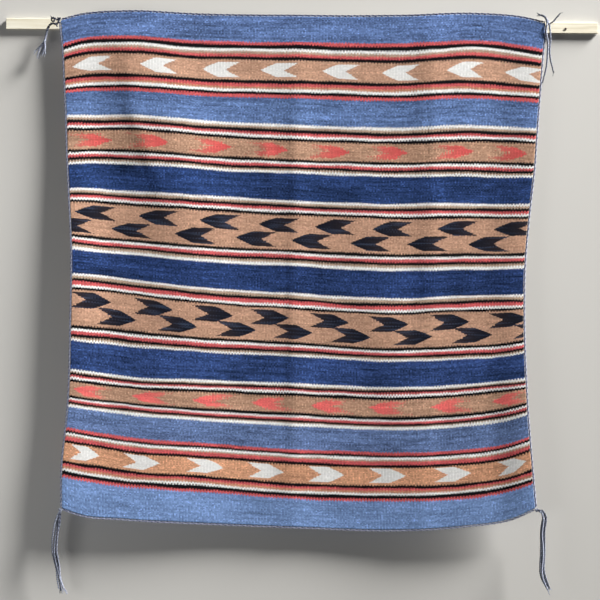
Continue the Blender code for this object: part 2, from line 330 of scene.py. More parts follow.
# Yarns: their colour, and in its alpha how strongly uneven dye shows in them.
YARNS = {
    "sky 1": linear(85, 107, 150, 0.8),
    "sky 2": linear(89, 112, 155, 0.8),
    "navy 3": linear(38, 58, 101, 1.0),
    "navy 4": linear(38, 57, 100, 1.0),
    "navy 5": linear(45, 65, 110, 1.0),
    "sky 6": linear(92, 112, 152, 0.75),
    "sky 7": linear(110, 136, 180, 0.5),
    "tan": linear(177, 139, 116, 0.35),
    "grey tan": linear(170, 134, 111, 0.45),
    "orange tan": linear(193, 143, 112, 0.45),
    "sand": linear(168, 144, 124, 0.3),
    "rust": linear(180, 130, 102, 0.35),
    "coral": linear(192, 86, 88, 0.35),
    "white": linear(222, 222, 220, 0.12),
    "black": linear(11, 10, 14, 0.2),
}

# The weft from the top edge to the bottom edge: the yarn and for how many picks it runs.
WEFT = (
    ("sky 1", 44),
    ("coral", 5), ("black", 7), ("white", 5), ("sand", 4), ("coral", 5), ("black", 6),
    ("tan", 34),
    ("black", 6), ("coral", 5), ("rust", 4), ("white", 5), ("black", 5), ("coral", 6),
    ("sky 2", 45),
    ("white", 5), ("sand", 4), ("black", 6), ("coral", 4), ("white", 4), ("black", 5),
    ("grey tan", 31),
    ("black", 5), ("white", 4), ("coral", 4), ("black", 5), ("sand", 3), ("white", 4),
    ("navy 3", 46),
    ("white", 4), ("sand", 4), ("black", 5), ("coral", 4), ("white", 4), ("black", 5),
    ("tan", 58),
    ("black", 5), ("white", 4), ("coral", 5), ("black", 5), ("sand", 4), ("white", 5),
    ("navy 4", 46),
    ("white", 4), ("sand", 5), ("black", 5), ("coral", 6), ("white", 4), ("black", 4),
    ("tan", 55),
    ("black", 5), ("white", 4), ("coral", 5), ("black", 5), ("sand", 3), ("white", 3),
    ("navy 5", 46),
    ("white", 4), ("sand", 2), ("black", 4), ("coral", 3), ("white", 4), ("black", 5),
    ("grey tan", 28),
    ("black", 5), ("white", 3), ("coral", 4), ("black", 4), ("sand", 2), ("white", 5),
    ("sky 6", 39),
    ("coral", 5), ("black", 4), ("white", 4), ("sand", 3), ("coral", 6), ("black", 5),
    ("orange tan", 31),
    ("black", 5), ("coral", 4), ("rust", 4), ("white", 4), ("black", 6), ("coral", 4),
    ("sky 7", 47),
)
YARNS_A_RAMP = 8

# Rows of arrows in the tan bands: which of the six bands, the row's middle line in millimetres
# down, -1 where the tips point left and 1 where they point right, the lengths from tip to barbs
# of its first arrow, of those between and of its last one, and the tips' places in thousandths
# of the width. Where a band has two rows, the name of the lower one ends in below.
ArrowRow = namedtuple("ArrowRow", "name band down points first length last tips")
ARROW_ROWS = (
    ArrowRow("white, top", 0, 111.5, -1, 80, 75, 77, (17, 158, 290, 412, 542, 668, 804, 927)),
    ArrowRow("coral, upper", 1, 276, 1, 77, 77, 68, (93, 217, 352, 473, 606, 731, 870, 985)),
    ArrowRow("dark, pair 1, above", 2, 430.5, -1, 83, 83, 83, (9, 148, 282, 412, 536, 662, 804, 928)),
    ArrowRow("dark, pair 1, below", 2, 461, -1, 83, 83, 83, (-43, 86, 228, 361, 485, 614, 740, 874)),
    ArrowRow("dark, pair 2, above", 3, 622, 1, 81, 81, 81, (85, 223, 356, 482, 615, 747, 882, 1012)),
    ArrowRow("dark, pair 2, below", 3, 649, 1, 81, 81, 81, (142, 277, 408, 534, 663, 800, 932, 1064)),
    ArrowRow("coral, lower", 4, 797.5, -1, 64, 74, 62, (8, 137, 270, 400, 530, 657, 796, 930)),
    ArrowRow("white, bottom", 5, 937.5, 1, 57, 73, 55, (74, 204, 340, 472, 601, 733, 873, 990)),
)
# The arrows of each tan band: where the band's stretch of cloth ends, the yarn's colour, and in
# its alpha how far the arrows are hatched into the tan.
ArrowYarn = namedtuple("ArrowYarn", "end colour")
ARROW_YARNS = (
    ArrowYarn(193, linear(217, 217, 215, 0.10)),
    ArrowYarn(353, linear(204, 86, 84, 1.0)),
    ArrowYarn(540, linear(19, 21, 31, 0.12)),
    ArrowYarn(720, linear(19, 21, 31, 0.12)),
    ArrowYarn(868, linear(224, 102, 100, 1.0)),
    ArrowYarn(RUG_LENGTH, linear(217, 217, 215, 0.10)),
)

# An arrow: half its height, how far behind its tip it is at its full height and its notch
# starts, as shares of its length, and how round its point is.
ARROW_HALF_HEIGHT = 15.2
ARROW_SHOULDER = 0.43
ARROW_NOTCH = 0.63
ARROW_POINT = 0.85

# What an arrow map holds where a band has no row of its kind: a place far from any arrow.
FAR = 50.0


def arrow_places(row, warps):
    """How far each warp lies behind the tip of its nearest arrow, in lengths of the arrow."""
    width = np.interp(row.down, [w.down for w in WOVEN_LINES], [w.right - w.left for w in WOVEN_LINES])
    tips = np.array(row.tips) / 1000
    lengths = np.array([row.first] + [row.length] * (len(tips) - 2) + [row.last])
    behind = (tips[None, :] - warps[:, None] / WARPS) * row.points * width / lengths
    nearest = np.argmin(np.abs(behind - 0.5), axis=1)
    return behind[np.arange(len(warps)), nearest]


def cloth_faces(columns):
    """Each corner of the faces, front, back and edge: its row, its column and its layer."""
    j, i = np.meshgrid(np.arange(CLOTH_ROWS), np.arange(columns), indexing="ij")
    j, i = j.ravel(), i.ravel()
    front_row = np.stack((j, j + 1, j + 1, j), axis=1)
    front_column = np.stack((i, i, i + 1, i + 1), axis=1)
    in_front = np.zeros_like(front_row)

    edge = [(0, k) for k in range(columns)]
    edge += [(k, columns) for k in range(CLOTH_ROWS)]
    edge += [(CLOTH_ROWS, k) for k in range(columns, 0, -1)]
    edge += [(k, 0) for k in range(CLOTH_ROWS, 0, -1)]
    edge = np.array(edge)
    after = np.roll(edge, -1, axis=0)
    edge_row = np.stack((edge[:, 0], after[:, 0], after[:, 0], edge[:, 0]), axis=1)
    edge_column = np.stack((edge[:, 1], after[:, 1], after[:, 1], edge[:, 1]), axis=1)
    edge_layer = np.tile((0, 0, 1, 1), (len(edge), 1))

    rows = np.concatenate((front_row, front_row[:, ::-1], edge_row))
    cols = np.concatenate((front_column, front_column[:, ::-1], edge_column))
    layers = np.concatenate((in_front, in_front + 1, edge_layer))
    return rows, cols, layers


def arrow_map(below, warp, corner_down):
    """For the corners of each face: how far behind a tip, and how far below the row's middle."""
    face_down = corner_down.mean(axis=1)
    band = np.searchsorted([yarn.end for yarn in ARROW_YARNS], face_down)
    place = np.full(corner_down.shape + (2,), FAR)
    for row in ARROW_ROWS:
        if row.name.endswith("below") != below:
            continue
        chosen = band == row.band
        behind = arrow_places(row, np.arange(WARPS) + 0.5)[warp[chosen]]
        place[chosen, :, 0] = behind[:, None]
        place[chosen, :, 1] = corner_down[chosen] - row.down
    return place


def woven_cloth(name, material):
    """The cloth's two layers on one grid, closed round the edge, with maps for its pattern."""
    columns = WARPS * COLUMNS_A_WARP
    across = np.linspace(0, 1, columns + 1)
    down = np.concatenate(([0], np.linspace(HEM, 1 - HEM, CLOTH_ROWS - 1), [1]))
    middle = cloth_points(across, down)
    out = cloth_frames(across, down)[2]
    share = (np.arange(columns + 1) % COLUMNS_A_WARP) / COLUMNS_A_WARP
    rib = -RIB_HEIGHT * np.cos(2 * np.pi * share)
    half = (CLOTH_THICKNESS / 2 + rib)[None, :, None] * out
    points = np.concatenate(((middle + half).reshape(-1, 3), (middle - half).reshape(-1, 3)))
    rows, cols, layers = cloth_faces(columns)
    points_a_layer = (columns + 1) * (CLOTH_ROWS + 1)
    faces = layers * points_a_layer + rows * (columns + 1) + cols

    mesh = bpy.data.meshes.new(name)
    mesh.vertices.add(len(points))
    mesh.vertices.foreach_set("co", (points * MM).ravel())
    mesh.loops.add(faces.size)
    mesh.loops.foreach_set("vertex_index", faces.ravel())
    mesh.polygons.add(len(faces))
    mesh.polygons.foreach_set("loop_start", np.arange(0, faces.size, 4))
    mesh.update(calc_edges=True)

    # The weave's map counts warps across and millimetres down.
    corner_down = down[rows] * RUG_LENGTH
    warp = np.minimum(cols.min(axis=1) // COLUMNS_A_WARP, WARPS - 1)
    maps = {
        "weave": np.stack((cols / COLUMNS_A_WARP, corner_down), axis=-1),
        "arrows": arrow_map(False, warp, corner_down),
        "arrows below": arrow_map(True, warp, corner_down),
    }
    for label, values in maps.items():
        layer = mesh.uv_layers.new(name=label, do_init=False)
        layer.uv.foreach_set("vector", values.astype(np.float32).ravel())
    mesh.materials.append(material)
    mesh.shade_smooth()
    mesh.validate()
    made = bpy.data.objects.new(name, mesh)
    bpy.context.scene.collection.objects.link(made)
    return made


def weft_colour(s, level):
    """The yarn at a distance down the cloth, from ramps whose alpha is the uneven dye."""
    picks = np.cumsum([0] + [width for yarn, width in WEFT])
    edges = picks / picks[-1] * RUG_LENGTH
    colour = strength = None
    for first in range(0, len(WEFT), YARNS_A_RAMP):
        last = min(first + YARNS_A_RAMP, len(WEFT))
        start, reach = float(edges[first]), float(edges[last] - edges[first])
        stops = [((edges[k] - start) / reach, YARNS[WEFT[k][0]]) for k in range(first, last)]
        ramp = s.node("ValToRGB", {"between": "CONSTANT", "stops": stops}, {0: (level - start) / reach})
        dye = Shade(s.tree, ramp.socket.node.outputs[1])
        if colour is None:
            colour, strength = ramp, dye
        else:
            past = level > start
            colour = colour.towards(ramp, past)
            strength = strength + (dye - strength) * past
    return colour, strength


def chance_at(s, x, y):
    """A number from 0 to 1 by chance, another one for each pair of whole numbers."""
    return s.node("TexWhiteNoise", {"noise_dimensions": "2D"}, {"Vector": s.vector(x, y)})


# Mottles of the wool: how many warps and picks each of them spans, where its noise is read, that
# noise's detail and roughness, and how strongly it shows.
Mottle = namedtuple("Mottle", "name warps picks place detail rough strength")
DYE_MOTTLES = (
    Mottle("flecks", 2.6, 2.2, 0.0, 2.0, 0.6, 0.9),
    Mottle("streaks", 15.0, 1.8, 5.0, 3.0, 0.6, 2.6),
    Mottle("long streaks", 70.0, 5.0, 7.0, 2.0, 0.5, 1.6),
    Mottle("patches", 50.0, 40.0, 3.0, 2.0, 0.5, 1.6),
)
HATCHING = Mottle("picks of an arrow that run on or stop short", 60.0, 1.3, 11.0, 1.0, 0.5, 0.92)
PALE_STREAKS = Mottle("paler picks in the dark arrows", 24.0, 3.0, 19.0, 2.0, 0.5, 3.6)
PALE_STREAK_TONE = linear(56, 68, 92)
PALE_STREAK_MOST = 0.8


def mottled(s, warp, pick, mottle):
    """How much paler, or below nothing how much darker, a mottle makes each place."""
    place = s.vector(warp / mottle.warps, pick / mottle.picks, mottle.place)
    return (s.noise(place, detail=mottle.detail, rough=mottle.rough) - 0.5) * mottle.strength


# A hatched arrow: how much of its hatching reaches its tip, how much more its outline varies by
# chance and how much thinner it is, and how far its tail fades into the tan.
HATCH_AT_TIP = 0.3
HATCH_CHANCE = 0.2
RAGGED_CHANCE = 0.4
HATCHED_THINNER = 0.19
HATCHED_FADE = 0.45


def arrow_shape(s, name, shift, softness, hatched, ragged):
    """How far an arrow of one row covers the cloth: pointed in front, forked behind."""
    place = s.node("UVMap", {"uv_map": name})
    tail = place.part(0).math("MAXIMUM", 0.0).math("MINIMUM", 1.0)
    behind = place.part(0) + hatched * (HATCH_AT_TIP + tail)
    off = (place.part(1) + shift).math("ABSOLUTE") / ARROW_HALF_HEIGHT * ragged
    head = (behind / ARROW_SHOULDER).math("MAXIMUM", 0.0).math("MINIMUM", 1.0)
    fork = (behind - ARROW_NOTCH) / (1 - ARROW_NOTCH)
    inside = (off < head.math("POWER", ARROW_POINT)) * (off > fork)
    return inside * (1.0 - HATCHED_FADE * softness * tail * tail)


# The weft: how far it wanders up and down, over how many warps and how many millimetres, how far
# one rib's teeth differ from another's by chance and over how many millimetres they stay so, and
# the height of the teeth round an arrow.
WANDER = 6.5
WANDER_WARPS = 32.0
WANDER_DOWN = 22.0
TOOTH_CHANCE = 0.9
TOOTH_DOWN = 15.0
ARROW_TOOTH = 0.7

# Beads: the weft of one pick over one rib. The tone of each differs by chance, more so in yarns
# of uneven dye and less so in the arrows, and some are paler. Every other rib is a little paler
# too. The furrows between the ribs are darkened with painted shade, and the ribs' crests are
# lightened a little with painted light.
BEAD_TONE = 0.26
BEAD_DYE = 0.42
ARROW_EVENNESS = 0.7
PALE_BEADS_FROM = 0.94
PALE_BEAD = 0.4
ODD_RIB_TONE = 0.07
PAINTED_RIB_CREST_LIGHT = 1.04
PAINTED_FURROW_SHADE = 0.18
FURROW_SHARPNESS = 3.0
FURROW_DEPTH = 0.6

# How strongly uneven dye shows in the arrows, and in hatched ones more, how much of the raised
# height is the wool's fuzz, how many hairs of it there are to a warp and to a pick, and how
# little the wool shines.
ARROW_DYE = 0.08
HATCHED_DYE = 0.25
FUZZ = 0.5
FUZZ_A_WARP = 5.0
FUZZ_A_PICK = 1.6
WOOL_ROUGHNESS = 0.93
WOOL_SHINE = 0.08

wool, wool_shader, s = finish("woven wool", WOOL_ROUGHNESS)
wool_shader.inputs["Specular IOR Level"].default_value = WOOL_SHINE
weave = s.node("UVMap", {"uv_map": "weave"})
warp, down = weave.part(0), weave.part(1)

# A pick shows on every other rib, so a bead takes up two picks, and the odd ribs' beads lie one
# pick lower than the even ribs' ones.
rib = warp.math("FLOOR")
odd = rib.math("MODULO", 2.0)
wander = s.noise(s.vector(warp / WANDER_WARPS, down / WANDER_DOWN)) - 0.5
picks = (down + WANDER * wander) / PICK
bead_place = (picks + 0.5 - odd) * 0.5
bead = bead_place.math("FLOOR")
pick = 2.0 * bead + odd
tooth_chance = chance_at(s, rib, (down / TOOTH_DOWN).math("FLOOR")) - 0.5
level = picks * PICK + (odd - 0.5) * TOOTH + tooth_chance * TOOTH_CHANCE
yarn, dye = weft_colour(s, level)
bead_chance = chance_at(s, rib, pick)
uneven = 0.0
for mottle in DYE_MOTTLES:
    uneven = uneven + mottled(s, warp, pick, mottle)

# The arrows' yarn by its band, and how softly its arrows are hatched into the tan.
stops = [(0.0, ARROW_YARNS[0].colour)]
stops += [(a.end / RUG_LENGTH, b.colour) for a, b in zip(ARROW_YARNS, ARROW_YARNS[1:])]
arrow_yarn = s.node("ValToRGB", {"between": "CONSTANT", "stops": stops}, {0: level / RUG_LENGTH})
softness = Shade(s.tree, arrow_yarn.socket.node.outputs[1])
hatched = softness * (mottled(s, warp, pick, HATCHING) + (bead_chance - 0.5) * HATCH_CHANCE)
ragged = 1.0 + softness * (HATCHED_THINNER + (bead_chance - 0.5) * RAGGED_CHANCE)
shift = picks * PICK + (odd - 0.5) * ARROW_TOOTH - down
arrow = arrow_shape(s, "arrows", shift, softness, hatched, ragged)
arrow = arrow.math("MAXIMUM", arrow_shape(s, "arrows below", shift, softness, hatched, ragged))
dark_rows = (level > ARROW_YARNS[1].end) * (level < ARROW_YARNS[3].end)
pale = mottled(s, warp, pick, PALE_STREAKS).math("MAXIMUM", 0.0) * dark_rows
arrow_tone = arrow_yarn.towards(PALE_STREAK_TONE, pale.math("MINIMUM", PALE_STREAK_MOST))

cloth_tone = yarn.scaled(1.0 + dye * uneven)
arrow_tone = arrow_tone.scaled(1.0 + uneven * (ARROW_DYE + HATCHED_DYE * softness))
plain = 1.0 - ARROW_EVENNESS * arrow
beads = 1.0 + (bead_chance - 0.5) * (BEAD_TONE + BEAD_DYE * dye) * plain
beads = beads + (odd - 0.5) * ODD_RIB_TONE
beads = beads + (bead_chance > PALE_BEADS_FROM) * dye * plain * PALE_BEAD
furrow = ((warp - rib - 0.5) * 2.0).math("ABSOLUTE")
# Painted shade: the colour darkens towards the furrows between the ribs and lightens on their crests.
painted_furrow_shade = PAINTED_RIB_CREST_LIGHT - PAINTED_FURROW_SHADE * furrow.math("POWER", FURROW_SHARPNESS)
tone = cloth_tone.towards(arrow_tone, arrow).scaled(beads).scaled(painted_furrow_shade)
wire(wool_shader, "Base Color", tone)
turn = (bead_place - bead - 0.5) * 2.0
rounded = (1.0 - turn * turn) * (1.0 - FURROW_DEPTH * furrow * furrow)
fuzz = s.noise(s.vector(warp * FUZZ_A_WARP, picks * FUZZ_A_PICK), rough=0.6)
raise_surface(wool_shader, rounded + fuzz * FUZZ, strength=0.6, depth=0.0005)

web = woven_cloth("rug", wool)
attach(web, "root")
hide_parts("rug_web")

# The edge cords: two yarns of blue wool twined into a cord along each edge of the rug. They were
# strung on the loom before the weft, which turns round the two side ones.

# In millimetres: the cord's radius, its gap to the cloth, how far short of the corners it stops,
# the length of one turn of its two yarns and of one ring of faces, and how far it wavers.
CORD_RADIUS = 2.25
CORD_GAP = 0.3
CORD_SHORT = 1.5
CORD_PITCH = 12.5
CORD_STEP = 1.8
CORD_WOBBLE = 0.3
CORD_SIDES = 8
CORD_POINTS = 90

# How fine the wavering of a cord's path is.
WAVER_FINENESS = 90.0

# A strand: the points along its middle, and how thick and how dark it is, all along or at each.
Strand = namedtuple("Strand", "points thick tone")


def twined_tree():
    """Geometry Nodes that lay twisted plies round each line of a guide mesh."""
    tree = bpy.data.node_groups.new("twined cord", "GeometryNodeTree")
    sockets = (
        ("Guide", "Geometry"), ("Thickness", "Float"), ("Plies", "Int"), ("Pitch", "Float"),
        ("Step", "Float"), ("Sides", "Int"), ("Wobble", "Float"), ("Seed", "Float"),
        ("Finish", "Material"),
    )
    for label, kind in sockets:
        tree.interface.new_socket(label, in_out="INPUT", socket_type="NodeSocket" + kind)
    tree.interface.new_socket("Cord", in_out="OUTPUT", socket_type="NodeSocketGeometry")
    given = tree.nodes.new("NodeGroupInput").outputs

    def step(kind, values, settings=(), out=0):
        """Adds a node, and gives back one of its outputs."""
        made = tree.nodes.new(kind)
        for name, value in dict(settings).items():
            setattr(made, name, value)
        for name, value in dict(values).items():
            if isinstance(value, bpy.types.NodeSocket):
                tree.links.new(value, made.inputs[name])
            else:
                made.inputs[name].default_value = value
        return made.outputs[out]

    def work(operation, a, b=0.0):
        """Adds a Math node."""
        return step("ShaderNodeMath", {0: a, 1: b}, {"operation": operation})

    # The line through each strand's points, turned so that what follows it twists.
    line = step("GeometryNodeMeshToCurve", {0: given["Guide"]})
    line = step("GeometryNodeResampleCurve", {0: line, "Length": given["Step"]}, {"mode": "LENGTH"})
    where = step("GeometryNodeInputPosition", ())
    where = step("ShaderNodeVectorMath", {0: where, 1: given["Seed"]})
    reading = {"Vector": where, "Scale": WAVER_FINENESS, "Detail": 1.0}
    waver = step("ShaderNodeTexNoise", reading, out="Color")
    waver = step("ShaderNodeVectorMath", {0: waver, 1: (0.5, 0.5, 0.5)}, {"operation": "SUBTRACT"})
    waver = step("ShaderNodeVectorMath", {0: waver, "Scale": given["Wobble"]}, {"operation": "SCALE"})
    line = step("GeometryNodeSetPosition", {0: line, "Offset": waver})
    along = step("GeometryNodeSplineParameter", (), out="Length")
    turns = work("DIVIDE", along, given["Pitch"])
    line = step("GeometryNodeSetCurveTilt", {0: line, "Tilt": work("MULTIPLY", turns, math.tau)})

    # The plies' outlines, as circles that touch each other round the middle of the line.
    turn = work("DIVIDE", math.tau, given["Plies"])
    spread = work("DIVIDE", 1.0, work("SINE", work("MULTIPLY", turn, 0.5)))
    half = work("MULTIPLY", given["Thickness"], 0.5)
    ply_radius = work("DIVIDE", half, work("ADD", spread, 1.0))
    spread = work("MULTIPLY", spread, ply_radius)
    angle = work("MULTIPLY", step("GeometryNodeInputIndex", ()), turn)
    x = work("MULTIPLY", work("COSINE", angle), spread)
    y = work("MULTIPLY", work("SINE", angle), spread)
    plies = step("GeometryNodeMeshLine", {"Count": given["Plies"]})
    centre = step("ShaderNodeCombineXYZ", {0: x, 1: y})
    plies = step("GeometryNodeSetPosition", {0: plies, "Position": centre})
    ring = step("GeometryNodeCurvePrimitiveCircle", {"Resolution": given["Sides"], "Radius": ply_radius})
    plies = step("GeometryNodeInstanceOnPoints", {0: plies, "Instance": ring})
    number = step("GeometryNodeInputIndex", ())
    plies = step(
        "GeometryNodeStoreNamedAttribute",
        {0: plies, "Name": "ply", "Value": number},
        {"data_type": "FLOAT", "domain": "INSTANCE"},
    )
    plies = step("GeometryNodeRealizeInstances", {0: plies})

    # The cord: the outlines swept along the line, as thick as the strand is at each point.
    thick = step("GeometryNodeInputNamedAttribute", {"Name": "thick"}, {"data_type": "FLOAT"})
    cord = step("GeometryNodeCurveToMesh", {0: line, 1: plies, "Scale": thick, "Fill Caps": True})
    cord = step("GeometryNodeSetShadeSmooth", {0: cord})
    cord = step("GeometryNodeRealizeInstances", {0: cord})
    cord = step("GeometryNodeSetMaterial", {0: cord, "Material": given["Finish"]})
    end = tree.nodes.new("NodeGroupOutput")
    tree.links.new(cord, end.inputs[0])
    return tree


def twined(name, tree, strands, **settings):
    """A piece of twined cords along its strands, in millimetres, as one plain mesh in metres."""
    guide = bpy.data.meshes.new(name + " guide")
    counts = [len(strand.points) for strand in strands]
    first = np.cumsum([0] + counts)
    edges = [(k, k + 1) for a, n in zip(first, counts) for k in range(a, a + n - 1)]
    points = np.concatenate([np.asarray(strand.points, float) for strand in strands]) * MM
    guide.from_pydata(points.tolist(), edges, [])
    for label in ("thick", "tone"):
        values = [np.broadcast_to(getattr(strand, label), len(strand.points)) for strand in strands]
        layer = guide.attributes.new(label, "FLOAT", "POINT")
        layer.data.foreach_set("value", np.concatenate(values).astype(np.float32))
    made = bpy.data.objects.new(name, guide)
    bpy.context.scene.collection.objects.link(made)
    modifier = made.modifiers.new("twined cord", "NODES")
    modifier.node_group = tree
    for item in tree.interface.items_tree:
        if item.in_out == "INPUT" and item.name.lower() in settings:
            modifier[item.identifier] = settings[item.name.lower()]
    seen = made.evaluated_get(bpy.context.evaluated_depsgraph_get())
    mesh = bpy.data.meshes.new_from_object(seen)
    made.modifiers.remove(modifier)
    made.data = mesh
    mesh.name = name
    bpy.data.meshes.remove(guide)
    return made


# Spun wool: how fine its mottles and its hairs are, and how strongly the hairs show.
MOTTLE_FINENESS = 260.0
HAIR_FINENESS = 1500.0
HAIR_SHARE = 0.5
SPUN_ROUGHNESS = 0.95


def wool_yarn(name, pale, dark, fleck, twist):
    """Spun wool between two colours: paler and darker ply by ply, and mottled along the cord."""
    made, shader, s = finish(name, SPUN_ROUGHNESS)
    shader.inputs["Specular IOR Level"].default_value = WOOL_SHINE
    here = s.node("TexCoord", out="Object")
    tone = s.node("Attribute", {"attribute_name": "tone"}, out="Fac")
    ply = s.node("Attribute", {"attribute_name": "ply"}, out="Fac")
    mottle = s.noise(here, MOTTLE_FINENESS, detail=3.0, rough=0.6) - 0.5
    hair = s.noise(here, HAIR_FINENESS, rough=0.6) - 0.5
    depth = tone + (ply.math("MODULO", 2.0) - 0.5) * twist + mottle * fleck + hair * HAIR_SHARE
    depth = depth.math("MAXIMUM", 0.0).math("MINIMUM", 1.0)
    colour = s.node("Mix", {"data_type": "RGBA"}, {0: depth, 6: pale, 7: dark}, 2)
    wire(shader, "Base Color", colour)
    raise_surface(shader, hair, strength=0.5, depth=0.0003)
    return made


twined_cord = twined_tree()
cord_wool = wool_yarn(
    "twined wool cord", pale=linear(164, 168, 188), dark=linear(34, 44, 78), fleck=1.3, twist=0.8,
)

# The cords: the node that each replaces, the side that it follows (0 left, 1 right) or the end
# (0 top, 1 bottom), and how dark its wool is. The left and bottom cords are set paler, partly for
# their paler yarn and partly as painted light: the left cord lies in shade, and the bottom one
# carries a painted highlight.
EdgeCord = namedtuple("EdgeCord", "name node along at tone")
EDGE_CORDS = (
    EdgeCord("left_edge_cord", "side_cord_left", "side", 0, 0.02),
    EdgeCord("right_edge_cord", "side_cord_right", "side", 1, 0.35),
    EdgeCord("top_edge_cord", "end_cord_top", "end", 0, 0.70),
    EdgeCord("bottom_edge_cord", "end_cord_bottom", "end", 1, 0.08),
)
for edge in EDGE_CORDS:
    run = np.linspace(0, 1, CORD_POINTS)
    places = (edge.at, run) if edge.along == "side" else (run, edge.at)
    middle = cloth_points(*places).reshape(-1, 3)
    right, down_the_cloth, out = (way.reshape(-1, 3) for way in cloth_frames(*places))
    away, lead = (right, down_the_cloth) if edge.along == "side" else (down_the_cloth, right)
    away = away * (2 * edge.at - 1)
    away -= out * np.sum(away * out, axis=1, keepdims=True)
    away /= np.linalg.norm(away, axis=1, keepdims=True)
    path = middle + away * (CORD_RADIUS + CORD_GAP)
    path[0] += lead[0] * CORD_SHORT
    path[-1] -= lead[-1] * CORD_SHORT
    cord = twined(
        edge.name, twined_cord, [Strand(path, 1.0, edge.tone)], thickness=2 * CORD_RADIUS * MM,
        plies=2, pitch=CORD_PITCH * MM, step=CORD_STEP * MM, sides=CORD_SIDES,
        wobble=CORD_WOBBLE * MM, seed=1.0 + edge.at, finish=cord_wool,
    )
    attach(cord, "root")
    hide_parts(edge.node)

# The corner tassels: where the edge cords meet, their loose ends are knotted and hang free, as
# twined strands of the same wool that fray at the tips.

# In millimetres: how far out from the corner the knot sits each way, its reach, the full
# thickness of a strand, the length of one turn of its two yarns and of one ring of faces, and how
# far it wavers. The knot's cord is a little thinner, as a share, and so is a strand's tip.
KNOT_OFFSET = 3.6
KNOT_REACH = 3.3
STRAND = 4.5
STRAND_PITCH = 8.5
STRAND_STEP = 1.4
STRAND_WOBBLE = 1.2
KNOT_THICKNESS = 0.8
KNOT_POINTS = 40
STRAND_SIDES = 6
STRAND_POINTS = 14
STRAND_TAPER = 0.25

